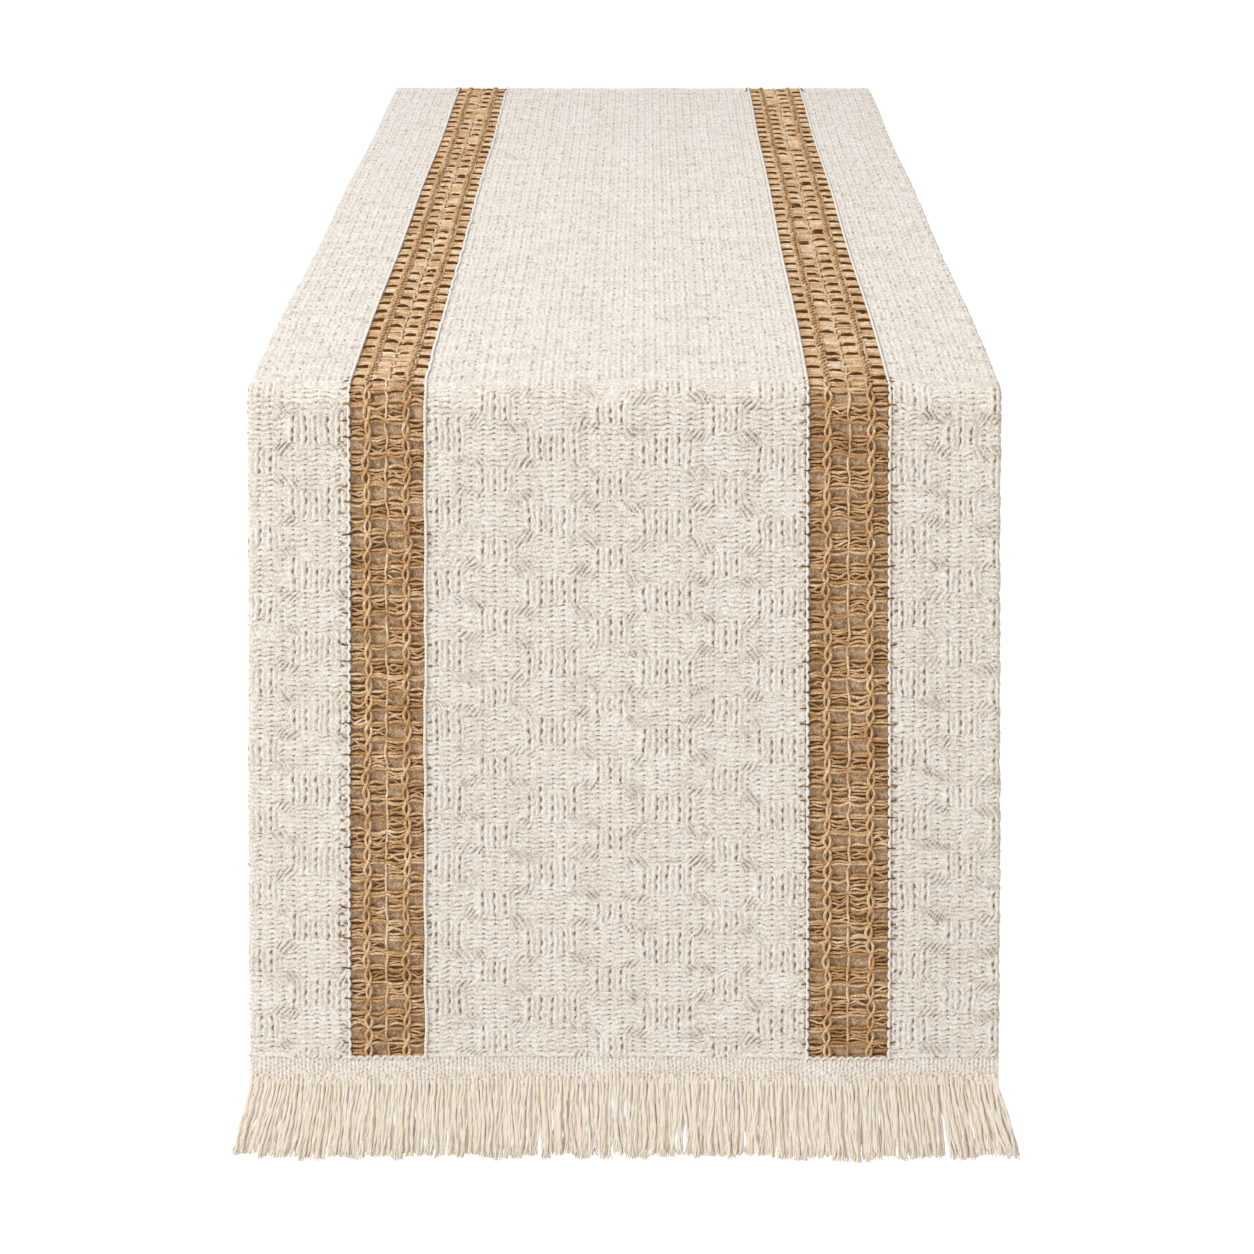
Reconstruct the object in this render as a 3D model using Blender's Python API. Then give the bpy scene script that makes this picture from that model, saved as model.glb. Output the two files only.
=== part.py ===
"""A woven table runner, draped over a table and hanging down at both ends.

Three off-white cotton panels run the whole length. Two open-work jute stripes, each on a
thin woven backing, are sewn between them with white yarn. A ribbed hem closes each end,
and a fringe hangs from each hem.

X runs across the runner, Y along it, Z up. The origin is on the underside of the table
stretch, at its centre. Units are metres.

Cloth bends anywhere, so each strip is cut here into the lengths that stay nearly flat: the
stretch on the table, a drop at each end, and the short bend over each table edge.
"""

import math

import bmesh
import bpy
from mathutils import Matrix, Vector

# Lengths, measured along the cloth.
CLOTH_LENGTH = 1.524  # from the end of one hem to the end of the other, laid flat
HEM_LENGTH = 0.0125
FRINGE_LENGTH = 0.035

# Widths of the five strips, from -X to +X.
LEFT_PANEL_WIDTH = 0.0404
LEFT_STRIPE_WIDTH = 0.0315
CENTRE_PANEL_WIDTH = 0.1543
RIGHT_STRIPE_WIDTH = 0.0343
RIGHT_PANEL_WIDTH = 0.0444

# Thicknesses.
COTTON_THICKNESS = 0.0030
BACKING_THICKNESS = 0.0006
HEM_THICKNESS = 0.0028
FRINGE_THICKNESS = 0.0020
SEAM_WIDTH = 0.0015
SEAM_THICKNESS = 0.0006

# The table that the runner lies on.
TABLE_DEPTH = 0.930  # from the near drop's inner face to the far drop's
EDGE_RADIUS = 0.008  # of the bend's inner face, over the table's edge

# The fringe's strands, in bunches.
BUNCH_WIDTH = 0.0034
BUNCH_GAP = 0.0016
FRINGE_HEADING = 0.0045  # height of the part above the bunches, where they are still joined
FRINGE_UNEVENNESS = 0.005  # how much shorter the shortest bunch is
FRINGE_SPREAD = 0.007  # how far the tips fan out past the hem, on each side

GAP = 0.0003  # between pieces that touch on the real runner
BEND_STEPS = 10

# What follows from those.
BEND_START = TABLE_DEPTH / 2 - EDGE_RADIUS  # |y| where the cloth leaves the flat
BEND_LENGTH = math.pi / 2 * (EDGE_RADIUS + COTTON_THICKNESS / 2)
DROP_LENGTH = CLOTH_LENGTH / 2 - BEND_START - BEND_LENGTH - HEM_LENGTH
DROP_TOP = -EDGE_RADIUS
DROP_END = DROP_TOP - DROP_LENGTH
HEM_END = DROP_END - HEM_LENGTH

# The lines, along X, that the moving stretches turn about. A drop's lies where the cloth keeps
# its length when the drop is lifted level: its top end is then BEND_LENGTH from the table stretch.
DROP_PIVOT = (BEND_START + BEND_LENGTH / 2, BEND_LENGTH / 2 - EDGE_RADIUS)  # (|y|, z)
FRINGE_PIVOT = (TABLE_DEPTH / 2 + COTTON_THICKNESS / 2, HEM_END - GAP - FRINGE_THICKNESS / 2)

STRIP_WIDTHS = (
    LEFT_PANEL_WIDTH,
    LEFT_STRIPE_WIDTH,
    CENTRE_PANEL_WIDTH,
    RIGHT_STRIPE_WIDTH,
    RIGHT_PANEL_WIDTH,
)
WIDTH = sum(STRIP_WIDTHS)

NEAR, FAR = -1, 1  # the sign of Y at each end
END_NAMES = {NEAR: "near", FAR: "far"}


def clear_scene():
    for obj in list(bpy.data.objects):
        bpy.data.objects.remove(obj, do_unlink=True)


def make_material(name, colour, roughness):
    material = bpy.data.materials.new(name)
    material.use_nodes = True
    shader = material.node_tree.nodes["Principled BSDF"]
    shader.inputs["Base Color"].default_value = (*colour, 1.0)
    shader.inputs["Roughness"].default_value = roughness
    shader.inputs["Metallic"].default_value = 0.0
    return material


def link_mesh(name, builder, material):
    """The object of a finished bmesh, with its faces pointing out."""
    bmesh.ops.recalc_face_normals(builder, faces=builder.faces)
    mesh = bpy.data.meshes.new(name)
    builder.to_mesh(mesh)
    builder.free()
    mesh.materials.append(material)
    obj = bpy.data.objects.new(name, mesh)
    bpy.context.scene.collection.objects.link(obj)
    return obj


def extruded_across(name, outline, x_low, x_high, material):
    """A solid with the same (y, z) outline all the way across, from x_low to x_high."""
    builder = bmesh.new()
    corners = [builder.verts.new((x_low, y, z)) for y, z in outline]
    face = builder.faces.new(corners)
    side = bmesh.ops.extrude_face_region(builder, geom=[face])
    moved = [part for part in side["geom"] if isinstance(part, bmesh.types.BMVert)]
    bmesh.ops.translate(builder, verts=moved, vec=(x_high - x_low, 0, 0))
    return link_mesh(name, builder, material)


def rectangle(y_low, y_high, z_low, z_high):
    return [(y_low, z_low), (y_high, z_low), (y_high, z_high), (y_low, z_high)]


def bend_arc(end, height, angle_low, angle_high):
    """Points round a table edge, height above the cloth's underside. An angle of 0 is on the table."""
    radius = EDGE_RADIUS + height
    points = []
    for step in range(BEND_STEPS + 1):
        angle = angle_low + (angle_high - angle_low) * step / BEND_STEPS
        y = end * (BEND_START + radius * math.sin(angle))
        points.append((y, -EDGE_RADIUS + radius * math.cos(angle)))
    return points


def table_outline(low, high):
    return rectangle(-BEND_START, BEND_START, low, high)


def bend_outline(end, low, high):
    """The bend over one table edge, with a gap to the stretches on both sides of it."""
    trim = GAP / (EDGE_RADIUS + low)
    inner = bend_arc(end, low, trim, math.pi / 2 - trim)
    outer = bend_arc(end, high, trim, math.pi / 2 - trim)
    return inner + outer[::-1]


def drop_outline(end, low, high, z_top, z_end):
    face = TABLE_DEPTH / 2
    return rectangle(*sorted((end * (face + low), end * (face + high))), z_end, z_top)


def draped_outline(low, high):
    """The whole way from one hem to the other, over both table edges, in one piece."""
    z_end = DROP_END + GAP

    def side(height):
        face = TABLE_DEPTH / 2 + height
        near = bend_arc(NEAR, height, math.pi / 2, 0)
        far = bend_arc(FAR, height, 0, math.pi / 2)
        return [(-face, z_end)] + near + far + [(face, z_end)]

    return side(low) + side(high)[::-1]


def add_strip(name, x_low, x_high, low, high, material):
    """One long strip in its five lengths, between two heights above the cloth's underside."""
    x_low += GAP / 2
    x_high -= GAP / 2
    extruded_across(f"{name}_table", table_outline(low, high), x_low, x_high, material)
    for end, end_name in END_NAMES.items():
        bend = bend_outline(end, low, high)
        extruded_across(f"{name}_{end_name}_bend", bend, x_low, x_high, material)
        drop = drop_outline(end, low, high, DROP_TOP, DROP_END + GAP)
        extruded_across(f"{name}_{end_name}_drop", drop, x_low, x_high, material)


def add_stripe(side, x_low, x_high, jute, backing):
    """A jute stripe, flush with the cotton beside it, over its backing strip."""
    add_strip(f"{side}_backing", x_low, x_high, 0.0, BACKING_THICKNESS, backing)
    jute_low = BACKING_THICKNESS + GAP
    add_strip(f"{side}_stripe", x_low, x_high, jute_low, COTTON_THICKNESS, jute)


def add_seam(name, join, stripe_side, material):
    """The sewing yarn along one join. It lies on the stripe's edge, which is on this side of it in X."""
    low = COTTON_THICKNESS + GAP
    outline = draped_outline(low, low + SEAM_THICKNESS)
    start = join + stripe_side * GAP / 2
    x_low, x_high = sorted((start, start + stripe_side * SEAM_WIDTH))
    extruded_across(name, outline, x_low, x_high, material)


def add_hem(end, material):
    """The ribbed band across the end, centred on the cloth's thickness."""
    low = (COTTON_THICKNESS - HEM_THICKNESS) / 2
    outline = drop_outline(end, low, low + HEM_THICKNESS, DROP_END, HEM_END)
    extruded_across(f"{END_NAMES[end]}_hem", outline, -WIDTH / 2, WIDTH / 2, material)


def fringe_outline():
    """The comb shape of the fringe, as (x, z) with z = 0 at its rolled upper edge. The bunches fan out."""
    pitch = BUNCH_WIDTH + BUNCH_GAP
    count = int((WIDTH + BUNCH_GAP) / pitch)
    start = -(count * pitch - BUNCH_GAP) / 2
    points = [(-start, 0.0), (start, 0.0)]
    for bunch in range(count):
        left = start + bunch * pitch
        right = left + BUNCH_WIDTH
        fan = FRINGE_SPREAD * (left + right) / WIDTH
        shorter = FRINGE_UNEVENNESS * abs(math.sin(2.4 * bunch))
        tip = -FRINGE_LENGTH + shorter
        taper = BUNCH_WIDTH / 4
        points.append((left, -FRINGE_HEADING))
        points.append((left + taper + fan, tip))
        points.append((right - taper + fan, tip))
        points.append((right, -FRINGE_HEADING))
    return points


def add_fringe(end, material):
    """The fringe hangs below the hem. Its upper edge is round about the line that it swings on."""
    builder = bmesh.new()
    middle = end * (TABLE_DEPTH / 2 + COTTON_THICKNESS / 2)
    back = middle - FRINGE_THICKNESS / 2
    top = HEM_END - GAP
    corners = [builder.verts.new((x, back, top + z)) for x, z in fringe_outline()]
    face = builder.faces.new(corners)
    side = bmesh.ops.extrude_face_region(builder, geom=[face])
    moved = [part for part in side["geom"] if isinstance(part, bmesh.types.BMVert)]
    bmesh.ops.translate(builder, verts=moved, vec=(0, FRINGE_THICKNESS, 0))
    long_top_edges = [
        edge
        for edge in builder.edges
        if all(abs(vert.co.z - top) < GAP / 10 for vert in edge.verts)
        and edge.calc_length() > WIDTH / 2
    ]
    bmesh.ops.bevel(
        builder,
        geom=long_top_edges,
        offset=FRINGE_THICKNESS / 2 * 0.98,
        segments=4,
        profile=0.5,
        affect="EDGES",
    )
    return link_mesh(f"{END_NAMES[end]}_fringe", builder, material)


def add_pivot(end, moving, place):
    """An empty on the line that this end's moving stretch turns about."""
    pivot = bpy.data.objects.new(f"{END_NAMES[end]}_{moving}", None)
    pivot.empty_display_size = EDGE_RADIUS
    pivot.location = (0, end * place[0], place[1])
    bpy.context.scene.collection.objects.link(pivot)
    return pivot


def hang(obj, pivot, pivot_world):
    """Parents obj to the pivot, and leaves it where it is."""
    obj.parent = pivot
    obj.matrix_parent_inverse = Matrix.Translation(-pivot_world)


def add_pivots():
    """Hangs each drop and its hem on one pivot, and the fringe on another that moves with the drop."""
    for end, end_name in END_NAMES.items():
        drop_pivot = add_pivot(end, "drop_fold", DROP_PIVOT)
        fringe_pivot = add_pivot(end, "fringe_swing", FRINGE_PIVOT)
        drop_place = Vector(drop_pivot.location)
        for obj in list(bpy.context.scene.objects):
            if obj.name.endswith((f"{end_name}_drop", f"{end_name}_hem")):
                hang(obj, drop_pivot, drop_place)
        fringe = bpy.data.objects[f"{end_name}_fringe"]
        hang(fringe, fringe_pivot, Vector(fringe_pivot.location))
        hang(fringe_pivot, drop_pivot, drop_place)


def main():
    clear_scene()
    cotton = make_material("cotton", (0.752, 0.687, 0.604), 0.9)
    jute = make_material("jute", (0.418, 0.254, 0.130), 0.85)
    backing = make_material("backing", (0.262, 0.181, 0.117), 0.9)
    sewing_yarn = make_material("sewing_yarn", (0.855, 0.807, 0.730), 0.8)
    fringe_yarn = make_material("fringe_yarn", (0.761, 0.665, 0.552), 0.9)

    joins = [-WIDTH / 2]
    for width in STRIP_WIDTHS:
        joins.append(joins[-1] + width)
    left_outer, left_inner, right_inner, right_outer = joins[1:5]

    add_strip("left_panel", joins[0], left_outer, 0.0, COTTON_THICKNESS, cotton)
    add_stripe("left", left_outer, left_inner, jute, backing)
    add_strip("centre_panel", left_inner, right_inner, 0.0, COTTON_THICKNESS, cotton)
    add_stripe("right", right_inner, right_outer, jute, backing)
    add_strip("right_panel", right_outer, joins[5], 0.0, COTTON_THICKNESS, cotton)

    add_seam("left_outer_seam", left_outer, 1, sewing_yarn)
    add_seam("left_inner_seam", left_inner, -1, sewing_yarn)
    add_seam("right_inner_seam", right_inner, 1, sewing_yarn)
    add_seam("right_outer_seam", right_outer, -1, sewing_yarn)

    for end in (NEAR, FAR):
        add_hem(end, cotton)
        add_fringe(end, fringe_yarn)
    add_pivots()


main()
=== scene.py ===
"""The looks of a woven table runner, built around its CAD frame.

Every thread and panel is made flat first, in cloth coordinates: across (X), along (0 at the
middle of the table, negative towards the near end) and height above the cloth's underside.
lay() then drapes those points over the table's edges. Units are metres.
"""

import math

import bpy
import numpy as np
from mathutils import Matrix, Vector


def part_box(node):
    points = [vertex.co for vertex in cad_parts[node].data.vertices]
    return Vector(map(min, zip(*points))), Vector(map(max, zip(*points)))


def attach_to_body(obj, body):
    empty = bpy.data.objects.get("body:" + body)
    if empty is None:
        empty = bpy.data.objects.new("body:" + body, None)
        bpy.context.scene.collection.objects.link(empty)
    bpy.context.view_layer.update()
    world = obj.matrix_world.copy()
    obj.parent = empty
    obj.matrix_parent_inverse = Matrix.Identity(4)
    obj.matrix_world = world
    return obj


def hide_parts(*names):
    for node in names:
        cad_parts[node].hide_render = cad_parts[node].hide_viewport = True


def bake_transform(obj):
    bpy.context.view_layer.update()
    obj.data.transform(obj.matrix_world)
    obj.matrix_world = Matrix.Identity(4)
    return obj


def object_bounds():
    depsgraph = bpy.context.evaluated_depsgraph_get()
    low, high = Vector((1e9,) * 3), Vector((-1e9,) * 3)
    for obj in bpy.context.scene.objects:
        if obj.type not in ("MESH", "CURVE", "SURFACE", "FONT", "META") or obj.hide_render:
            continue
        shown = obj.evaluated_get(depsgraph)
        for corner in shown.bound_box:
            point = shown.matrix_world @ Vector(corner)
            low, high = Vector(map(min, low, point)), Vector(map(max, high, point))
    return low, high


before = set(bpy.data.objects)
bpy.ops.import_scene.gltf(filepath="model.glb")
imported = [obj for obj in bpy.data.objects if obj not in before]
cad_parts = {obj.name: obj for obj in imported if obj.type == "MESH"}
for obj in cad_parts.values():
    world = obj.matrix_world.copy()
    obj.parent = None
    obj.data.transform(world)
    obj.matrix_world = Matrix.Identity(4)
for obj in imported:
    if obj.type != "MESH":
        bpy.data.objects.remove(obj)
cad_low, cad_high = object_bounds()

# ---------------------------------------------------------------- sizes, from the frame

LOW, HIGH = 0, 1


def reach(node, axis):
    """Where a CAD node begins and ends along one axis."""
    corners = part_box(node)
    return corners[LOW][axis], corners[HIGH][axis]


def join(left_node, right_node):
    """The line across the cloth where two neighbouring strips meet."""
    return (reach(left_node, 0)[HIGH] + reach(right_node, 0)[LOW]) / 2


THICKNESS = reach("centre_panel_table", 2)[HIGH]
BACKING_THICKNESS = reach("left_backing_table", 2)[HIGH]
BEND_START = reach("centre_panel_table", 1)[HIGH]
TABLE_EDGE = reach("centre_panel_far_drop", 1)[LOW]
BEND_RADIUS = TABLE_EDGE - BEND_START
BEND_MIDDLE = BEND_RADIUS + THICKNESS / 2
BEND_LENGTH = math.pi / 2 * BEND_MIDDLE
BEND_END = BEND_START + BEND_LENGTH
CLOTH_END = BEND_END - BEND_RADIUS - reach("far_hem", 2)[HIGH]
HEM_END = CLOTH_END + reach("far_hem", 2)[HIGH] - reach("far_hem", 2)[LOW]
FRINGE_END = CLOTH_END + reach("far_hem", 2)[HIGH] - reach("far_fringe", 2)[LOW]
HALF_WIDTH = reach("far_hem", 0)[HIGH]

JOINS = {
    "left_outer": join("left_panel_table", "left_stripe_table"),
    "left_inner": join("left_stripe_table", "centre_panel_table"),
    "right_inner": join("centre_panel_table", "right_stripe_table"),
    "right_outer": join("right_stripe_table", "right_panel_table"),
}
PANELS = {
    "left_panel": (-HALF_WIDTH, JOINS["left_outer"]),
    "centre_panel": (JOINS["left_inner"], JOINS["right_inner"]),
    "right_panel": (JOINS["right_outer"], HALF_WIDTH),
}
STRIPES = {
    "left": (JOINS["left_outer"], JOINS["left_inner"]),
    "right": (JOINS["right_inner"], JOINS["right_outer"]),
}

# The five stretches that each strip is made in, as (lowest, highest) along the cloth.
BEND_MARGIN = 0.015
STRETCHES = {
    "near_drop": (-CLOTH_END, -BEND_END - BEND_MARGIN),
    "near_bend": (-BEND_END - BEND_MARGIN, -BEND_START + BEND_MARGIN),
    "table": (-BEND_START + BEND_MARGIN, BEND_START - BEND_MARGIN),
    "far_bend": (BEND_START - BEND_MARGIN, BEND_END + BEND_MARGIN),
    "far_drop": (BEND_END + BEND_MARGIN, CLOTH_END),
}
ENDS = {"near": -1, "far": 1}
MOST_TRIANGLES = 190000  # in one piece

# ---------------------------------------------------------------- the weave's own sizes

COLUMN = 0.00468  # between the cotton's dot columns
RIB = 0.00212  # between its cross ribs
COLUMN_STEPS = 6  # mesh cells in one column, three for each warp strand
RIB_STEPS = 4
RELIEF = 0.0014  # from the bottom of a pit to the top of a strand
BLOCK_COLUMNS = 10  # the pattern of float blocks repeats after this many columns
BLOCK_LENGTH = 0.0304  # and after this length
# The wide and narrow blocks: middle and half width in columns, middle and half length in repeats.
BLOCKS = ((1.0, 2.6, 0.81, 0.215), (6.2, 1.75, 0.25, 0.18))
ROW = 0.0067  # between the jute's weft separators
FLARE = 0.039  # how much wider a drop is at its hem, as a share
LEAN = 0.003  # how far a drop's hem stands out from the table
WANDER = 0.0005  # of the long edges
RIPPLE = 0.0010  # of a drop
LIFT = 0.0003  # of the table stretch, here and there

# ---------------------------------------------------------------- the drape


def smooth(value):
    value = np.clip(value, 0.0, 1.0)
    return value * value * (3 - 2 * value)


def wobble(x, y, seed):
    """Smooth noise between -1 and 1, with one new random value at each whole x and y."""
    size = 64
    table = np.random.default_rng(seed).uniform(-1, 1, (size, size))
    x, y = np.broadcast_arrays(x, y)
    column, row = np.floor(x).astype(int), np.floor(y).astype(int)
    fx, fy = smooth(x - column), smooth(y - row)

    def at(i, j):
        return table[(column + i) % size, (row + j) % size]

    return (at(0, 0) * (1 - fx) + at(1, 0) * fx) * (1 - fy) + (at(0, 1) * (1 - fx) + at(1, 1) * fx) * fy


def lay(flat):
    """Drapes flat cloth points, an array whose last axis is (across, along, height)."""
    across, along, height = flat[..., 0], flat[..., 1], flat[..., 2]
    end, travel = np.sign(along), np.abs(along)
    angle = np.clip((travel - BEND_START) / BEND_MIDDLE, 0, math.pi / 2)
    below = np.maximum(travel - BEND_END, 0)
    radius = BEND_RADIUS + height
    y = np.minimum(travel, BEND_START) + radius * np.sin(angle)
    z = radius * np.cos(angle) - BEND_RADIUS - below

    # The cloth isn't a perfect slab: it widens a little as it hangs, its edges wander, the drops
    # stand off the table and ripple, and the table stretch lifts here and there.
    hang = below / (HEM_END - BEND_END)
    x = across * (1 + FLARE * hang) + WANDER * np.sin(along * 17 + 0.8) * across / HALF_WIDTH
    ripple = np.sin(across * 33 + 1.3 * end) + 0.5 * np.sin(across * 61 + below * 9)
    y = y + LEAN * hang + RIPPLE * smooth(hang) * ripple
    on_table = smooth((BEND_START - travel) / 0.08)
    z = z + on_table * LIFT * (1 + np.sin(across * 27 + 0.6) * np.sin(along * 14))
    return np.stack([x, end * y, z], axis=-1)


# ---------------------------------------------------------------- mesh building


def fill_mesh(name, points, polygons, corner_uvs, flat_shaded):
    """A mesh from (count, corners) index arrays. corner_uvs holds, for each UV map, one (u, v) per corner."""
    mesh = bpy.data.meshes.new(name)
    corners = np.concatenate([np.asarray(block).ravel() for block in polygons])
    sizes = np.concatenate([np.full(len(block), np.shape(block)[1]) for block in polygons])
    starts = np.concatenate([[0], np.cumsum(sizes)[:-1]])
    mesh.vertices.add(len(points))
    mesh.vertices.foreach_set("co", points.astype(np.float32).ravel())
    mesh.loops.add(len(corners))
    mesh.loops.foreach_set("vertex_index", corners.astype(np.int32))
    mesh.polygons.add(len(sizes))
    mesh.polygons.foreach_set("loop_start", starts.astype(np.int32))
    mesh.update(calc_edges=True)
    mesh.polygons.foreach_set("use_smooth", np.invert(flat_shaded))
    corner_edges = np.empty(len(corners), np.int32)
    mesh.loops.foreach_get("edge_index", corner_edges)
    sharp = np.zeros(len(mesh.edges), bool)
    sharp[corner_edges[np.repeat(flat_shaded, sizes)]] = True
    mesh.edges.foreach_set("use_edge_sharp", sharp)
    for map_name, uvs in corner_uvs.items():
        layer = mesh.uv_layers.new(name=map_name)
        layer.uv.foreach_set("vector", uvs.astype(np.float32).ravel())
    return mesh


def put(name, mesh, material, attributes):
    """Links a finished mesh as an object. attributes are (name, one value per point)."""
    for label, values in attributes:
        mesh.attributes.new(label, "FLOAT", "POINT").data.foreach_set("value", values.astype(np.float32))
    mesh.materials.append(material)
    piece = bpy.data.objects.new(name, mesh)
    bpy.context.scene.collection.objects.link(piece)
    return piece


def coarse_steps(count, step):
    """0, step, 2 step and so on up to count, which is always the last."""
    return np.append(np.arange(0, count - step // 2, step), count)


def grid_cells(index):
    """The four corners of each cell of a 2-D array of point numbers, counter-clockwise."""
    corners = [index[:-1, :-1], index[1:, :-1], index[1:, 1:], index[:-1, 1:]]
    return np.stack([corner.ravel() for corner in corners], axis=-1)


def cloth_sheet(name, top, back_height, material, shade, back_steps):
    """A closed sheet. Its face is the fine grid top, in cloth coordinates, and its back is a coarser grid."""
    columns, rows = top.shape[0] - 1, top.shape[1] - 1
    i_back, j_back = coarse_steps(columns, back_steps[0]), coarse_steps(rows, back_steps[1])
    back = top[np.ix_(i_back, j_back)].copy()
    back[..., 2] = back_height(back[..., 0], back[..., 1])
    top_index = np.arange(top.shape[0] * top.shape[1]).reshape(top.shape[:2])
    back_index = top_index.size + np.arange(back.shape[0] * back.shape[1]).reshape(back.shape[:2])
    face_cells = grid_cells(top_index)
    back_cells = grid_cells(back_index)[:, ::-1]
    rims = rim_faces(top_index, back_index, i_back, j_back)

    points = np.concatenate([top.reshape(-1, 3), back.reshape(-1, 3)])
    # The face takes the lower 0.6 of the UV square, the back the next 0.33 and the rims a line above.
    u, v = np.meshgrid(np.arange(columns + 1) / columns, np.arange(rows + 1) / rows, indexing="ij")
    u_back, v_back = u[np.ix_(i_back, j_back)], v[np.ix_(i_back, j_back)]
    face_uv = np.stack([u.ravel(), 0.6 * v.ravel()], -1)
    back_uv = np.stack([u_back.ravel(), 0.65 + 0.33 * v_back.ravel()], -1)
    blocks = [face_cells, back_cells] + [np.array([rim]) for rim in rims]
    corners = np.concatenate([block.ravel() for block in blocks])
    uvs = np.concatenate([face_uv, back_uv])[corners]
    rim_corners = sum(len(rim) for rim in rims)
    uvs[len(corners) - rim_corners :, 1] = 0.99
    flat_shaded = np.zeros(len(face_cells) + len(back_cells) + len(rims), bool)
    flat_shaded[-len(rims) :] = True
    mesh = fill_mesh(name, lay(points), blocks, {"OFBake": uvs}, flat_shaded)
    back_shade = np.full(back.shape[0] * back.shape[1], 0.12)
    return put(name, mesh, material, [("shade", np.concatenate([shade.ravel(), back_shade]))])


def rim_faces(top_index, back_index, i_back, j_back):
    """The faces that close a sheet round its four sides, each as wide as one cell of the back."""
    faces = []
    sides = [
        (top_index[:, 0], back_index[:, 0], i_back, 1),
        (top_index[:, -1], back_index[:, -1], i_back, -1),
        (top_index[0, :], back_index[0, :], j_back, -1),
        (top_index[-1, :], back_index[-1, :], j_back, 1),
    ]
    for top_line, back_line, steps, turn in sides:
        for k in range(len(steps) - 1):
            run = top_line[steps[k] : steps[k + 1] + 1]
            face = np.concatenate([[back_line[k], back_line[k + 1]], run[::-1]])
            faces.append(face[::turn])
    return faces


def tubes(name, paths, radii, sides, material, tint):
    """Round yarns along paths, an array (yarn, point, 3) in cloth coordinates.

    radii is one value, or one for each point, and tint is one for each yarn.
    """
    paths = np.asarray(paths, float)
    count, length = paths.shape[:2]
    radii = np.broadcast_to(radii, (count, length))
    tangent = np.gradient(paths, axis=1)
    tangent /= np.linalg.norm(tangent, axis=-1, keepdims=True)
    side = np.cross(tangent, (0.0, 0.0, 1.0))
    side /= np.linalg.norm(side, axis=-1, keepdims=True)
    up = np.cross(side, tangent)
    turn = 2 * math.pi * np.arange(sides) / sides
    ring = side[:, :, None] * np.cos(turn)[:, None] + up[:, :, None] * np.sin(turn)[:, None]
    points = paths[:, :, None] + ring * radii[:, :, None, None]

    index = np.arange(count * length * sides).reshape(count, length, sides)
    after = np.roll(index, -1, axis=2)
    quads = np.stack([index[:, :-1], index[:, 1:], after[:, 1:], after[:, :-1]], axis=-1).reshape(-1, 4)
    caps = np.concatenate([index[:, 0], index[:, -1, ::-1]])
    step = np.linalg.norm(np.diff(paths, axis=1), axis=-1)
    travel = np.concatenate([np.zeros((count, 1)), np.cumsum(step, axis=1)], axis=1)
    yarn_uv, bake_uv = tube_uvs(count, length, sides, travel)
    flat_shaded = np.zeros(len(quads) + len(caps), bool)
    flat_shaded[len(quads) :] = True
    maps = {"OFBake": bake_uv, "yarn": yarn_uv}
    mesh = fill_mesh(name, lay(points.reshape(-1, 3)), [quads, caps], maps, flat_shaded)
    tints = np.broadcast_to(np.asarray(tint, float).reshape(-1, 1), (count, length * sides))
    return put(name, mesh, material, [("tint", tints.ravel())])


def tube_uvs(count, length, sides, travel):
    """The corner UVs of tubes(): round and along the yarn, and one cell of a square for each yarn."""
    around = np.arange(sides)[None, None, :] + np.zeros((count, length - 1, 1))
    first = np.broadcast_to(np.arange(length - 1)[None, :, None], around.shape)
    u = np.stack([around, around, around + 1, around + 1], -1) / sides
    point = np.stack([first, first + 1, first + 1, first], -1)
    distance = np.take_along_axis(travel, point.reshape(count, -1), axis=1).reshape(point.shape)
    cap_count = 2 * count * sides
    yarn_uv = np.concatenate([np.stack([u, distance * 100], -1).reshape(-1, 2), np.zeros((cap_count, 2))])

    across = math.ceil(math.sqrt(count))
    cell = np.arange(count)
    corner = np.stack([cell % across, cell // across], -1)[:, None, None, None, :]
    inside = np.stack([u, point / (length - 1)], -1) * 0.9 + 0.05
    bake_cells = ((corner + inside) / across).reshape(-1, 2)
    cap_uv = np.repeat(np.tile(np.stack([cell % across, cell // across], -1), (2, 1)), sides, axis=0)
    return yarn_uv, np.concatenate([bake_cells, (cap_uv + 0.02) / across])


# ---------------------------------------------------------------- bodies


def attach(piece, stretch):
    """Lets a piece move with the stretch of cloth that it is part of."""
    if stretch == "table":
        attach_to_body(piece, "table_span")
    elif stretch.endswith("drop"):
        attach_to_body(piece, stretch)
    else:
        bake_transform(piece)


def parts_of(stretch, triangles_per_metre):
    """Cuts one stretch into equal lengths, each under MOST_TRIANGLES, as (name suffix, low, high)."""
    low, high = STRETCHES[stretch]
    count = math.ceil((high - low) * triangles_per_metre / MOST_TRIANGLES)
    edges = np.linspace(low, high, count + 1)
    if count == 1:
        return [("", low, high)]
    return [(f"_{k + 1}", edges[k], edges[k + 1]) for k in range(count)]


# ---------------------------------------------------------------- materials


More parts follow.
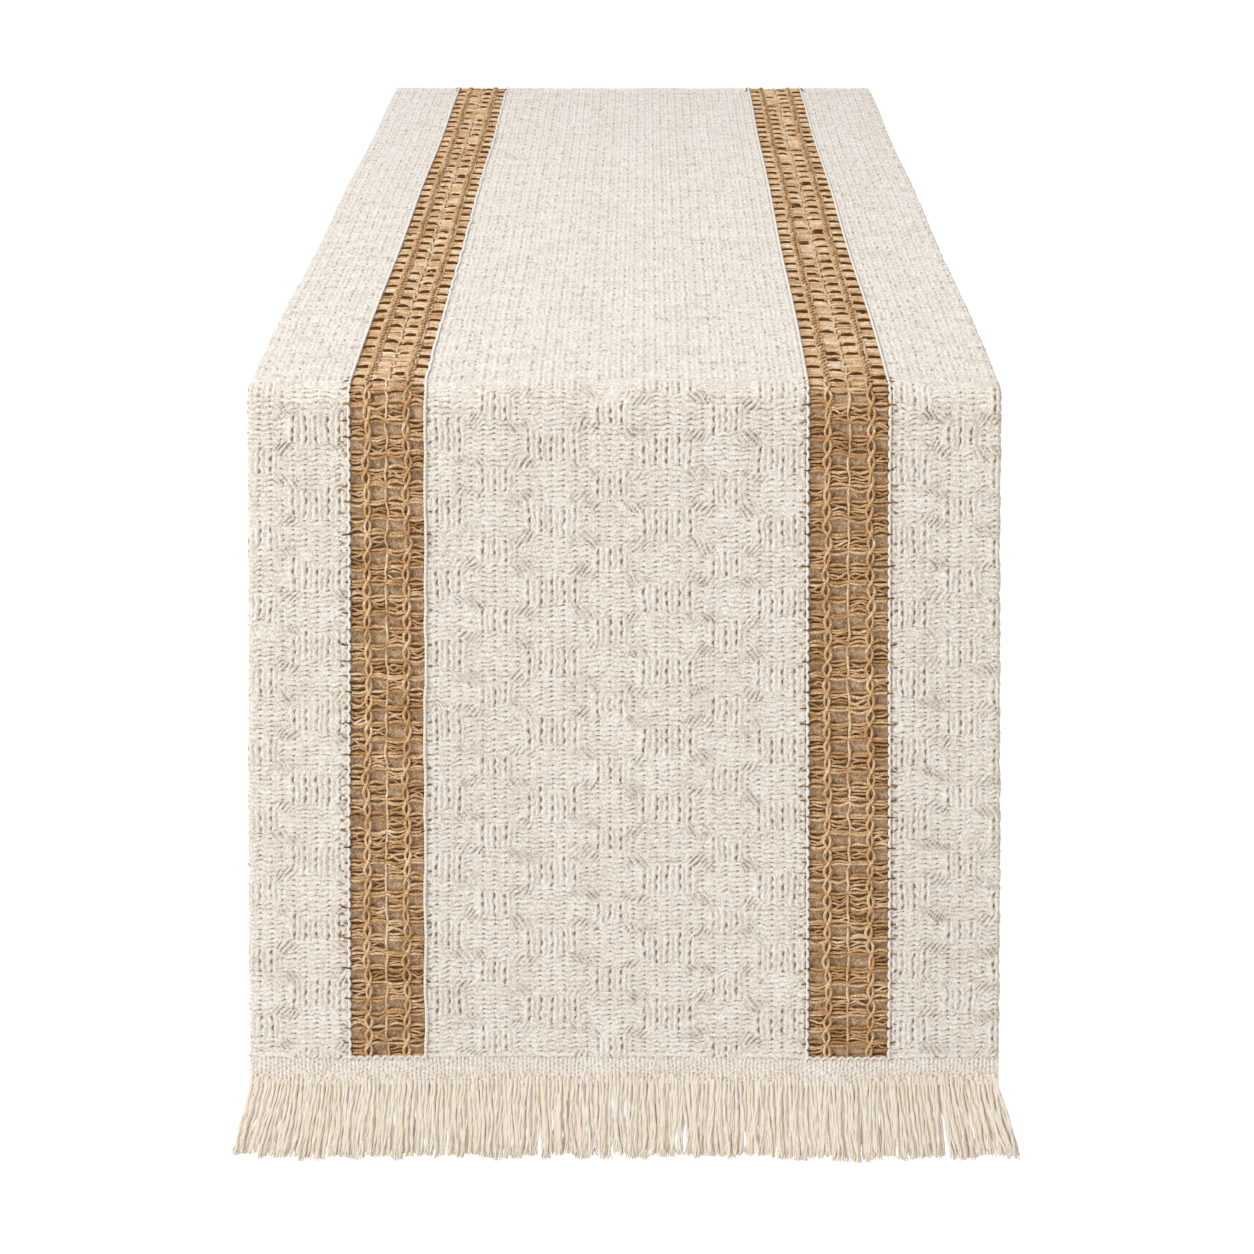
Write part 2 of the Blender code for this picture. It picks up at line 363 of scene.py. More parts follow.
class Shader:
    """A new material's node tree, with short calls for the nodes that the cloth uses."""

    def __init__(self, name, roughness, sheen, specular=0.2):
        self.material = bpy.data.materials.new(name)
        self.material.use_nodes = True
        self.tree = self.material.node_tree
        self.surface = self.tree.nodes["Principled BSDF"]
        self.surface.inputs["Roughness"].default_value = roughness
        self.surface.inputs["Specular IOR Level"].default_value = specular
        self.surface.inputs["Sheen Weight"].default_value = sheen
        self.surface.inputs["Sheen Roughness"].default_value = 0.6
        self.place = self.node("ShaderNodeTexCoord").outputs["Object"]

    def node(self, kind, values=None, **settings):
        made = self.tree.nodes.new(kind)
        for key, value in settings.items():
            setattr(made, key, value)
        for key, value in (values or {}).items():
            if isinstance(value, bpy.types.NodeSocket):
                self.tree.links.new(value, made.inputs[key])
            else:
                made.inputs[key].default_value = value
        return made

    def noise(self, scale, detail=2.0, vector=None):
        values = {"Scale": scale, "Detail": detail, "Roughness": 0.55, "Vector": vector or self.place}
        return self.node("ShaderNodeTexNoise", values).outputs["Fac"]

    def stretched(self, source, scale):
        return self.node("ShaderNodeMapping", {"Vector": source, "Scale": scale}).outputs["Vector"]

    def yarn(self):
        return self.node("ShaderNodeUVMap", uv_map="yarn").outputs["UV"]

    def attribute(self, name):
        return self.node("ShaderNodeAttribute", attribute_name=name).outputs["Fac"]

    def ramp(self, value, stops):
        """A colour ramp of (position, linear colour) stops."""
        made = self.node("ShaderNodeValToRGB", {"Fac": value})
        elements = made.color_ramp.elements
        while len(elements) < len(stops):
            elements.new(1.0)
        for element, (position, colour) in zip(elements, stops):
            element.position = position
            element.color = (*colour, 1.0)
        return made.outputs["Color"]

    def math(self, operation, a, b):
        return self.node("ShaderNodeMath", {0: a, 1: b}, operation=operation).outputs[0]

    def mix(self, factor, colour, other):
        """Turns a colour into another, fixed one as factor goes from 0 to 1."""
        made = self.node("ShaderNodeMix", {"Factor": factor, 6: colour, 7: (*other, 1.0)}, data_type="RGBA")
        return made.outputs[2]

    def finish(self, colour, bump_height, bump_distance):
        self.tree.links.new(colour, self.surface.inputs["Base Color"])
        values = {"Height": bump_height, "Distance": bump_distance, "Strength": 1.0}
        bump = self.node("ShaderNodeBump", values)
        self.tree.links.new(bump.outputs["Normal"], self.surface.inputs["Normal"])
        return self.material


def cotton_material():
    """Off-white cotton. The shade attribute paints warm brown shade into its pits, grooves and lower parts.
    """
    made = Shader("cotton", 0.92, 0.12)
    fibres = made.noise(1400.0, 3.0)
    patches = made.noise(60.0, 3.0)
    tone = made.math("ADD", made.math("MULTIPLY", fibres, 0.85), made.math("MULTIPLY", patches, 0.15))
    stops = [(0.38, (0.70, 0.60, 0.485)), (0.49, (0.91, 0.84, 0.745)), (0.60, (1.0, 0.97, 0.915))]
    colour = made.ramp(tone, stops)
    colour = made.mix(made.attribute("shade"), colour, (0.25, 0.12, 0.018))
    return made.finish(colour, fibres, 0.0005)


def jute_material():
    """Coarse tan yarn, with pale and dark fibres along it and a fine, uneven fuzz."""
    made = Shader("jute", 0.85, 0.0, 0.06)
    strands = made.noise(1.0, 3.0, made.stretched(made.yarn(), (9.0, 5.0, 1.0)))
    patches = made.noise(120.0, 2.0)
    fuzz = made.math("MULTIPLY", made.math("SUBTRACT", made.noise(1700.0, 2.0), 0.50), 0.7)
    tone = made.math("ADD", made.math("MULTIPLY", strands, 0.6), made.math("MULTIPLY", patches, 0.4))
    # The tint attribute adds each yarn's own tone and also painted light and painted shade; its lowest
    # values, mostly the shadow cells' fillers, reach the darkest stop
    tone = made.math("ADD", made.math("ADD", tone, fuzz), made.attribute("tint"))
    colour = made.ramp(
        tone,
        [
            (0.12, (0.12, 0.045, 0.008)),
            (0.30, (0.38, 0.20, 0.075)),
            (0.48, (0.63, 0.375, 0.175)),
            (0.62, (0.86, 0.635, 0.395)),
            (0.76, (1.0, 0.90, 0.74)),
        ],
    )
    return made.finish(colour, strands, 0.0004)


def backing_material():
    """Fine taupe cloth, speckled, seen through the jute's open cells."""
    made = Shader("backing", 0.9, 0.0, 0.06)
    speckle = made.noise(1300.0, 2.0)
    patches = made.noise(200.0, 2.0)
    tone = made.math("ADD", made.math("MULTIPLY", speckle, 0.7), made.math("MULTIPLY", patches, 0.3))
    stops = [(0.35, (0.27, 0.162, 0.08)), (0.5, (0.53, 0.36, 0.215)), (0.65, (0.80, 0.61, 0.43))]
    colour = made.ramp(tone, stops)
    colour = made.mix(made.attribute("shade"), colour, (0.15, 0.068, 0.018))
    return made.finish(colour, speckle, 0.0003)


def yarn_material(name, dark, middle, pale, sheen):
    """Smooth spun yarn with fibres along it."""
    made = Shader(name, 0.85, sheen)
    strands = made.noise(1.0, 3.0, made.stretched(made.yarn(), (7.0, 3.0, 1.0)))
    tone = made.math("ADD", strands, made.attribute("tint"))
    colour = made.ramp(tone, [(0.30, dark), (0.50, middle), (0.72, pale)])
    return made.finish(colour, strands, 0.0003)


cotton = cotton_material()
jute = jute_material()
backing = backing_material()
sewing_yarn = yarn_material("sewing_yarn", (0.70, 0.62, 0.52), (0.86, 0.81, 0.74), (0.94, 0.91, 0.86), 0.1)
fringe_yarn = yarn_material("fringe_yarn", (0.83, 0.69, 0.51), (0.88, 0.78, 0.65), (0.895, 0.85, 0.78), 0.5)

# ---------------------------------------------------------------- cotton panels

TOTAL_RIBS = 2 * round(CLOTH_END / RIB)
RIB_CELL = 2 * CLOTH_END / (TOTAL_RIBS * RIB_STEPS)
EDGE_ROUND = 0.0009  # the width over which a panel's face curves down to its edge
LOOP_PITCH = 0.0019  # of the small loops along the runner's two outer edges
STITCH_INSET = 0.0020
STITCH_STEP = 0.0047
HEM_GRIP = 0.0017  # the length pressed flat where a panel meets its hem
TRIANGLES_PER_CELL = 2.3  # two on the face, and a share of the coarser back


def float_blocks(column, climb):
    """Where warp strands float on the face, where they fan out beside a block's corners (both 0 to 1), and
    which way they fan."""
    periods = climb * RIB / BLOCK_LENGTH
    ragged = 0.05 * wobble(np.floor(column + 0.5), np.floor(periods), 11)
    ragged = ragged + 0.015 * wobble(2 * column, periods, 13)
    floats, fan, lean = np.zeros_like(column), np.zeros_like(column), np.zeros_like(column)
    for centre, half, phase, tall in BLOCKS:
        group = np.floor((column - centre) / BLOCK_COLUMNS + 0.5)
        p = (column - centre - group * BLOCK_COLUMNS) / half
        row = periods - phase + 0.1 * group
        q = (row - np.floor(row + 0.5) + ragged) / tall
        inside = smooth((1 - np.abs(p)) * half * 3) * smooth((1 - np.abs(q)) * tall * 18)
        floats = np.maximum(floats, inside)
        beside = smooth(1.4 - 2.2 * np.abs(np.abs(p) - 1.0))
        corner = beside * smooth(1.5 - 2.6 * np.abs(np.abs(q) - 1.25))
        lean = np.where(corner > fan, np.sign(p * q), lean)
        fan = np.maximum(fan, corner)
    return floats, fan * (1 - floats), lean


def cotton_relief(column, rib, along):
    """The woven face at whole mesh steps, as (height from 0 to 1, shade, shift across, shift along).

    It is one of three weaves at each place: the ribbed ground, warp strands that float over a block,
    and strands that fan out at a block's corners. Its shade is painted shade in pits, grooves,
    slits and lower parts. On the table the cotton is flatter, with dark specks of painted shade at the
    floats' ends and random darker specks.
    """
    climb = (CLOTH_END - np.abs(along)) / RIB
    on_table = smooth((BEND_START - np.abs(along)) / 0.02)
    ridge = hump(rib)
    dots = to_dots(column) < 0.05
    bead = 0.5 - 0.5 * np.cos(4 * math.pi * (column + 0.25 * (np.floor(rib + 0.01) % 2)))
    luck = 0.5 + 0.5 * wobble(column + 0.37, 1.3 * np.round(rib), 5)
    groove = ridge < 0.1
    patchiness = 0.5 + 0.5 * wobble(1.9 * column, 0.8 * rib, 14)
    rope = 2 * column
    strand = hump(rope)

    bridged = 0.5 + 0.5 * wobble(2.3 * column, 1.1 * rib, 18)
    pit = groove * dots * smooth(2.4 * luck - 0.6)
    weft_height = 0.20 + ridge * (0.36 + 0.22 * bead) + (1 - ridge) * 0.24 * bridged - 0.40 * pit
    weft_height = weft_height * (1 - 0.75 * on_table) + on_table * (0.28 + strand * (0.20 + 0.20 * patchiness))
    weft_shade = 0.26 * groove * patchiness * (1 - 0.7 * bridged) + 1.3 * pit

    side = 0.5 * (np.floor(rope + 0.01) % 2)
    knot = 0.5 + 0.5 * np.cos(2 * math.pi * (rib + side))
    chain = (0.5 + 0.5 * np.cos(math.pi * rib)) ** 1.5
    strong = 0.75 + 0.35 * wobble(column / 7, climb / 11, 19)
    depth = strong * (0.5 + 0.5 * wobble(column, 0.7 * rib, 6))
    warp_height = 0.38 + strand * (0.40 + 0.22 * knot) - dots * (0.04 + 0.38 * chain) * (1 - 0.7 * on_table)
    warp_shade = dots * (0.04 + 1.25 * chain * depth) + 0.12 * (strand < 0.1) * (1 - dots) * patchiness

    floats, fan, lean = float_blocks(column, climb)
    splay = rope - 0.72 * lean * climb + 0.35 * wobble(1.3 * column, 0.5 * climb, 15)
    slope = np.cos(2 * math.pi * splay)
    fan_patchiness = 0.5 + 0.5 * wobble(2.1 * column, 0.9 * climb, 16)
    fan_height, fan_shade = 0.54 + 0.40 * slope, 0.75 * np.clip(-slope - 0.1, 0, 1) * fan_patchiness
    fan = fan * (0.35 + 0.65 * fan_patchiness)
    ground = 1 - floats - fan
    height = weft_height * ground + warp_height * floats + fan_height * fan
    shade = weft_shade * ground + warp_shade * floats + fan_shade * fan * (1 - on_table)
    fuzz = wobble(6 * column, 4 * rib, 12)
    height = height + 0.12 * wobble(1.7 * column, 0.9 * rib, 7) + 0.17 * fuzz
    # Painted shade: pits, grooves and slits darker, more so near the bend, and every lower part darker by its
    # depth
    bent = np.exp(-(((np.abs(along) - BEND_END) / 0.016) ** 2))
    shade = shade * (1.52 - 0.7 * on_table + 0.8 * bent) + (0.34 - 0.16 * on_table) * (0.55 - height)
    shade = shade + 0.07 * fuzz
    # The table's specks: painted shade at the floats' ends, plus random darker specks
    turns = 2 * climb * RIB / BLOCK_LENGTH + 0.10 * wobble(np.round(column), 0.2 * rib, 20)
    speck = dots * smooth(1.8 - 14 * np.abs(turns - np.round(turns))) * smooth(2.5 * patchiness - 0.5)
    speck = speck + 0.5 * smooth(3 * wobble(2.3 * column, 0.9 * rib, 17) - 1.5)
    shade = np.clip(shade + 0.8 * on_table * speck, 0, 1)
    zigzag = 0.00024 * floats * np.cos(math.pi * rib) * np.cos(math.pi * np.round(column))
    shift_across = zigzag + 0.00050 * wobble(1.1 * column, 0.45 * rib, 8)
    shift_along = 0.00080 * wobble(1.3 * column, 0.4 * rib, 9)
    shift_along = shift_along + 0.00030 * np.cos(2 * math.pi * column) * ground
    return height, shade, shift_across, shift_along


def hump(place):
    """0 at each whole place and 1 half way to the next."""
    return 1 - (2 * ((place + 0.01) % 1) - 1) ** 2


def to_dots(column):
    """How far each place is from the nearest dot column, in columns."""
    return np.abs((column + 0.5) % 1 - 0.5)


def edge_profile(distance, sewn, along):
    """How far a panel's face drops near its edge, with the notches between its edge loops or the stitch holes
    beside a seam, and the painted shade in them.
    """
    inward = np.clip(distance / EDGE_ROUND, 0, 1)
    drop = (1 - np.sqrt(1 - (1 - inward) ** 2)) * (0.0003 if sewn else 0.0012)
    if not sewn:
        notch = (0.5 + 0.5 * np.cos(2 * math.pi * along / LOOP_PITCH)) * (distance < EDGE_ROUND)
        return drop + 0.0003 * notch, 0.12 * notch
    place = along / STITCH_STEP + 0.25 * wobble(along / STITCH_STEP, 0.0, 21)
    near_stitch = np.abs(place - np.round(place)) * STITCH_STEP < 0.00045
    strength = smooth(0.9 + wobble(np.round(place), 3.0, 22))
    deep = near_stitch * strength * (np.abs(distance - STITCH_INSET) < 0.0006)
    return drop + 0.0006 * deep, 0.8 * deep


def cotton_back(across, along):
    return 0.00012 * (1 + np.sin(across * 2 * math.pi / COLUMN) * np.sin(along * math.pi / RIB))


def cotton_strip(name, stretch):
    """One cotton panel's share of one stretch, in as many pieces as its fine mesh needs."""
    low, high = PANELS[name]
    columns = round((high - low) / COLUMN * COLUMN_STEPS)
    first_column = round((low - PANELS["centre_panel"][LOW]) / COLUMN)
    per_metre = TRIANGLES_PER_CELL * columns / RIB_CELL
    made = []
    for suffix, start, stop in parts_of(stretch, per_metre):
        rows = np.arange(round((start + CLOTH_END) / RIB_CELL), round((stop + CLOTH_END) / RIB_CELL) + 1)
        i, j = np.meshgrid(np.arange(columns + 1), rows, indexing="ij")
        across = low + (high - low) * i / columns
        along = -CLOTH_END + j * RIB_CELL
        column = first_column + i / COLUMN_STEPS
        height, shade, shift_across, shift_along = cotton_relief(column, j / RIB_STEPS, along)
        from_edge = np.minimum(across - low, high - across)
        on_left = across - low < high - across
        inner = smooth(from_edge / 0.003)
        face = THICKNESS - RELIEF + RELIEF * height
        for side, sewn in ((on_left, name != "left_panel"), (~on_left, name != "right_panel")):
            lowered, hole_shade = edge_profile(from_edge, sewn, along)
            face = face - lowered * side
            # Painted shade in the edge notches and stitch holes
            shade = np.maximum(shade, hole_shade * side)
        at_end = smooth((np.abs(along) - CLOTH_END + HEM_GRIP) / 0.0015)
        face = face + at_end * (THICKNESS - 0.0006 - face)
        loose = on_left if name == "left_panel" else ~on_left if name == "right_panel" else False
        out = 0.0004 * loose * (from_edge < 0.0004) * wobble(along / 0.0014, 0.0, 23)
        shift_along = shift_along * (1 - at_end)
        top = np.stack([across + shift_across * inner + out, along + shift_along, face], axis=-1)
        piece = cloth_sheet(f"{name}_{stretch}{suffix}_weave", top, cotton_back, cotton, shade, (3, 4))
        attach(piece, stretch)
        made.append((piece, (high - low, stop - start)))
    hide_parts(f"{name}_{stretch}")
    return made


# ---------------------------------------------------------------- jute stripes

ROWS = round(2 * CLOTH_END / ROW)
ROW_LENGTH = 2 * CLOTH_END / ROWS
CELL_EDGES = (0.0, 0.25, 0.5, 0.76, 1.0)  # across the stripe, as shares of its width
THICK_YARN = 0.00060  # the radius of a separator's yarns
THIN_YARN = 0.00048  # of a filler
LENO_YARN = 0.00062  # of the crossing pairs
CENTRE_YARN = 0.00048
FILLERS = 3  # thin wefts in a filled cell
FILLED_LENGTH = 0.0038
FACE_HEIGHT = 0.0019  # of the separators' middles


def filled_cells(seed):
    """Which cells in each row are filled with weft, as an array (row, cell). On the table all are."""
    draw = np.random.default_rng(seed)
    row = np.arange(ROWS)[:, None]
    mirrored = wobble(row / 17, 0.5, seed) < 0.15
    phase = np.where(mirrored, np.array([[0, 1, 1, 0]]), np.array([[0, 1, 0, 1]]))
    filled = ((row + phase) % 2 == 0) ^ (draw.random((ROWS, 4)) < 0.07)
    return filled | on_table(row)


def on_table(row):
    return np.abs((row + 0.5) * ROW_LENGTH - CLOTH_END) < BEND_START


def shadow_cells(seed):
    """The table's cells whose fillers are painted near-black as painted shade of an open cell: about every
    third along each column.
    """
    draw = np.random.default_rng(seed + 5)
    row = np.arange(ROWS)[:, None]
    drift = np.round(0.8 * wobble(row / 9, np.array([[0, 1, 2, 3]]), seed + 6) * np.array([[0, 1, 1, 0]]))
    third = (row + drift + np.array([[0, 1, 2, 0]])) % 3 == 0
    return on_table(row) & third & (draw.random((ROWS, 4)) < np.array([[1.0, 0.85, 0.85, 1.0]]))


def cell_arches(share, heights):
    """An arch over each cell at these shares of the width. heights is an array (row, cell)."""
    return sum(
        heights[:, cell, None] * np.sin(math.pi * np.clip((share - a) / (b - a), 0, 1))
        for cell, (a, b) in enumerate(zip(CELL_EDGES, CELL_EDGES[1:]))
    )


def separator_paths(low, width, rows, bow, draw_row, seed):
    """Two yarns across the stripe at the start of each of these rows, which part into an eye in each cell."""
    share = np.linspace(-0.01, 1.01, 37)
    arch = cell_arches(share, bow)
    clamp = np.minimum(sum(np.exp(-(((share - edge) / 0.035) ** 2)) for edge in CELL_EDGES), 1)
    opening = cell_arches(share, draw_row[:, 2:])
    paths = []
    for row in rows:
        turn = math.pi * (1.4 * share + 2 * draw_row[row, 0])
        middle = -CLOTH_END + row * ROW_LENGTH + arch[row] + 0.0005 * (draw_row[row, 1] - 0.5) * (share - 0.5)
        middle = middle + 0.00028 * wobble(share * 13, row * 3.7, seed)
        for sign in (-1, 1):
            apart = sign * (0.00038 + 0.0010 * opening[row])
            along = np.clip(middle + apart, -CLOTH_END + THICK_YARN, CLOTH_END - THICK_YARN)
            height = FACE_HEIGHT - 0.0005 * clamp + sign * 0.00022 * np.sin(turn)
            paths.append(np.stack([low + share * width, along, height], -1))
    return np.array(paths)


def filler_paths(low, width, row, cell, bow, shift, dark):
    """The thin wefts that fill one cell. Those of a shadow cell on the table, which carry painted shade, are
    shorter.
    """
    step = np.linspace(0, 1, 8)
    inset = (0.0010 if cell in (0, 3) else 0.0019) if dark else 0.0005
    a, b = CELL_EDGES[cell] * width + inset, CELL_EDGES[cell + 1] * width - inset
    paths = []
    length = FILLED_LENGTH + 0.0014 * dark
    for strand in range(len(shift)):
        share = (strand + 0.5) / len(shift)
        place = (row + 0.5) * ROW_LENGTH + (share - 0.5) * length - CLOTH_END
        ease = bow[row, cell] * (1 - share) + bow[row + 1, cell] * share
        wave, tilt, lift = shift[strand] * (1 - 0.5 * dark)
        curl = wobble(3.2 * step + 900 * (row + 0.1 * strand), 4000 * tilt, 41) * 0.0008 * (1 - 0.5 * dark)
        along = ease * np.sin(math.pi * step) + wave * np.sin(2 * math.pi * step) + tilt * (step - 0.5) + curl
        height = FACE_HEIGHT - 0.0002 - 0.0004 * np.abs(2 * step - 1) ** 3 + lift * 0.5 + 0.0007 * dark
        paths.append(np.stack([low + a + (b - a) * step, place + along, height], -1))
    return paths


def uneven(paths, radius, seed):
    """Thick and thin places along hand-spun yarn."""
    count, length = np.shape(paths)[:2]
    yarn, point = np.meshgrid(np.arange(count), np.arange(length), indexing="ij")
    return radius * (1 + 0.22 * wobble(yarn * 7.3, point * 0.45, seed))


def jute_stripe(side, stretch, seed):
    """The open-work stripe's yarns in one stretch: separators, fillers, leno pairs and the centre yarn."""
    low, high = STRIPES[side]
    width = high - low
    start, stop = STRETCHES[stretch]
    draw = np.random.default_rng(seed)
    bow = draw.uniform(-0.0013, 0.0013, (ROWS + 1, 4))
    draw_row = draw.random((ROWS + 1, 6))
    # Separators on the table are painted paler: painted light on the lit tabletop
    tint = draw.uniform(-0.12, 0.06, (ROWS + 1, 2)) + 0.10 * on_table(np.arange(ROWS + 1))[:, None]
    filler_shift = draw.uniform(-0.00055, 0.00055, (ROWS, 4, FILLERS + 2, 3))
    filled, dark = filled_cells(seed), shadow_cells(seed)
    first, last = round((start + CLOTH_END) / ROW_LENGTH), round((stop + CLOTH_END) / ROW_LENGTH)
    rows = range(first, last + (stop > CLOTH_END - ROW_LENGTH / 2))

    paths = separator_paths(low, width, rows, bow, draw_row, seed)
    radii = uneven(paths, THICK_YARN, seed)
    pieces = [tubes(f"{side}_stripe_{stretch}_separators", paths, radii, 6, jute, tint[list(rows)].ravel())]

    paths, tints = [], []
    for row in range(first, last):
        for cell in np.flatnonzero(filled[row]):
            in_shadow = dark[row, cell]
            shift = filler_shift[row, cell, : FILLERS + on_table(row) + in_shadow]
            paths += filler_paths(low, width, row, cell, bow, shift, in_shadow)
            # Tint: paler the higher a filler lies, painted light; near-black brown in shadow cells, painted
            # shade; paler on the table, painted light
            tints += list(shift[:, 2] * 200 - (0.50 if in_shadow else -0.03 if on_table(row) else 0.04))
    radii = uneven(paths, THIN_YARN, seed + 1)
    pieces.append(tubes(f"{side}_stripe_{stretch}_fillers", paths, radii, 5, jute, tints))

    paths = warp_paths(low, width, start, stop, seed)
    radii = uneven(paths, LENO_YARN, seed + 2)
    radii[4] *= CENTRE_YARN / LENO_YARN
    tints = [0.03, -0.01, 0.02, -0.03, 0.07, 0.03, -0.02, 0.0, 0.04][: len(paths)]
    pieces.append(tubes(f"{side}_stripe_{stretch}_warp_pairs", paths, radii, 6, jute, tints))

    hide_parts(f"{side}_stripe_{stretch}")
    for piece in pieces:
        attach(piece, stretch)
    return pieces


def warp_paths(low, width, start, stop, seed):
    """Two leno pairs, whose yarns cross at every separator, and the single yarn between them. On the table a
    straight yarn also lies on each side of a pair."""
    count = round((stop - start) / ROW_LENGTH * 10)
    along = np.linspace(start, stop, count + 1)
    place = (along + CLOTH_END) / ROW_LENGTH
    swing, over = np.sin(math.pi * place), np.cos(math.pi * place)
    paths = []
    for number, edge in enumerate((CELL_EDGES[1], CELL_EDGES[3])):
        centre = low + edge * width + 0.0009 * wobble(place * 0.6, 0.3, seed + 30 + number)
        half = 0.00112 * (1 + 0.40 * wobble(place * 0.9, 0.6, seed + 32 + number))
        for sign in (-1, 1):
            wiggle = 0.00018 * wobble(place * 2.3, 0.5 + sign, seed + 34 + number)
            height = FACE_HEIGHT + 0.00070 - 0.00035 * np.abs(swing) + sign * 0.0004 * over
            paths.append(np.stack([centre + sign * half * swing + wiggle, along, height], -1))
    sway = 0.0006 * wobble(place * 1.3, 0.0, seed) + 0.0003 * wobble(place * 3.1, 0.5, seed)
    height = FACE_HEIGHT + 0.0001 + 0.0008 * over
    paths.append(np.stack([low + CELL_EDGES[2] * width + sway, along, height], -1))
    if start > -BEND_START and stop < BEND_START:
        for number, edge in enumerate((CELL_EDGES[1], CELL_EDGES[3])):
            for sign in (-1, 1):
                beside = sign * 0.0014 + 0.0003 * wobble(place * 1.1, sign, seed + 36 + number)
                height = FACE_HEIGHT + 0.0003 + 0.00015 * sign * over
                paths.append(np.stack([low + edge * width + beside, along, height], -1))
    return np.array(paths)


def backing_strip(side, stretch, seed):
    """The thin cloth under an open-work stripe. It is painted darker where the fillers cover it, as painted
    shade under them.
    """
    low, high = STRIPES[side]
    start, stop = STRETCHES[stretch]
    across = np.linspace(low + 0.00015, high - 0.00015, 33)
    along = np.linspace(start, stop, max(8, round((stop - start) / 0.0012)))
    u, s = np.meshgrid(across, along, indexing="ij")
    cell = np.clip(np.searchsorted(CELL_EDGES, (u - low) / (high - low)) - 1, 0, 3)
    row = np.clip(((s + CLOTH_END) / ROW_LENGTH).astype(int), 0, ROWS - 1)
    shade = 0.4 * filled_cells(seed)[row, cell]
    height = BACKING_THICKNESS + 0.0001 * wobble(u * 900, s * 900, 40)
    top = np.stack([u, s, height], -1)
    piece = cloth_sheet(f"{side}_backing_{stretch}_cloth", top, lambda a, b: 0 * a, backing, shade, (4, 4))
    attach(piece, stretch)
    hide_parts(f"{side}_backing_{stretch}")
    return piece, (high - low, stop - start)


# ---------------------------------------------------------------- seams

SCALLOP = 2 * ROW_LENGTH / 3
CORD_TWIST = 0.0034  # one turn of the straight seam's two plies
CORD_YARN = 0.00039
WEFT_END_YARN = 0.00034


def seam_yarns(name, stretch, stripe_side, scalloped, seed):
    """The white yarn along one join, on the stripe's edge. It is scalloped, or a straight two-ply twist."""
    start, stop = STRETCHES[stretch]
    base = JOINS[name] + stripe_side * (0.0003 if scalloped else -0.0001)
    count = round((stop - start) / 0.00065)
    along = np.linspace(start, stop, count + 1)
    if scalloped:
        place = along / SCALLOP + 0.12 * wobble(along / SCALLOP * 0.7, 0, seed)
        lobe = np.abs(np.sin(math.pi * place)) ** 0.6
        across = base + stripe_side * (0.0008 * lobe - 0.0004)
        paths = [np.stack([across, along, THICKNESS - 0.0009 + 0.0009 * lobe], -1)]
        radii = [0.0004 + 0.00024 * lobe]
        tints = [0.04]
    else:
        turn = 2 * math.pi * along / CORD_TWIST + 0.8 * wobble(along / 0.006, 0.0, seed + 1)
        middle = base + stripe_side * 0.0001 + 0.0003 * wobble(along / 0.008, 0.0, seed)
        paths = []
        for sign in (-1, 1):
            across = middle + sign * 0.00032 * np.cos(turn)
            paths.append(np.stack([across, along, THICKNESS + sign * 0.00026 * np.sin(turn)], -1))
        radii = CORD_YARN
        tints = [0.14, 0.09]
    piece = tubes(f"{name}_seam_{stretch}", paths, radii, 6, sewing_yarn, tints)
    attach(piece, stretch)
    return piece


def weft_ends(name, stretch, stripe_side, chance, seed):
    """Short ends of jute weft that run past the seam and down into the cotton."""
    start, stop = STRETCHES[stretch]
    draw = np.random.default_rng(seed)
    present = draw.random(ROWS + 1) < chance
    out = draw.uniform(0.0010, 0.0030, ROWS + 1)
    slant = draw.uniform(-0.0006, 0.0006, ROWS + 1)
    shade = draw.uniform(-0.45, -0.12, ROWS + 1)
    step = np.linspace(0, 1, 8)
    first, last = round((start + CLOTH_END) / ROW_LENGTH), round((stop + CLOTH_END) / ROW_LENGTH)
    paths, tints = [], []
    for row in range(max(first, 1), last):
        if present[row]:
            across = JOINS[name] + stripe_side * (0.0016 - (0.0016 + out[row]) * step)
            along = -CLOTH_END + row * ROW_LENGTH + slant[row] * step + 0.0003 * np.sin(3 * step)
            height = THICKNESS - 0.0003 + 0.0003 * np.sin(math.pi * step) - 0.0007 * step**4
            paths.append(np.stack([across, along, height], -1))
            tints.append(shade[row])
    radii = WEFT_END_YARN * (1.15 - 0.5 * step)
    piece = tubes(f"{name}_weft_ends_{stretch}", paths, radii, 6, jute, tints)
    attach(piece, stretch)
    return piece


# ---------------------------------------------------------------- hems and fringes

HEM_RIB = 0.00166
HEM_RIB_STEPS = 4
HEM_STITCH = 0.0021
HEM_TOOTH = 0.0033  # between the loops over a stripe's end
HEM_THICKNESS = reach("far_hem", 1)[HIGH] - reach("far_hem", 1)[LOW]


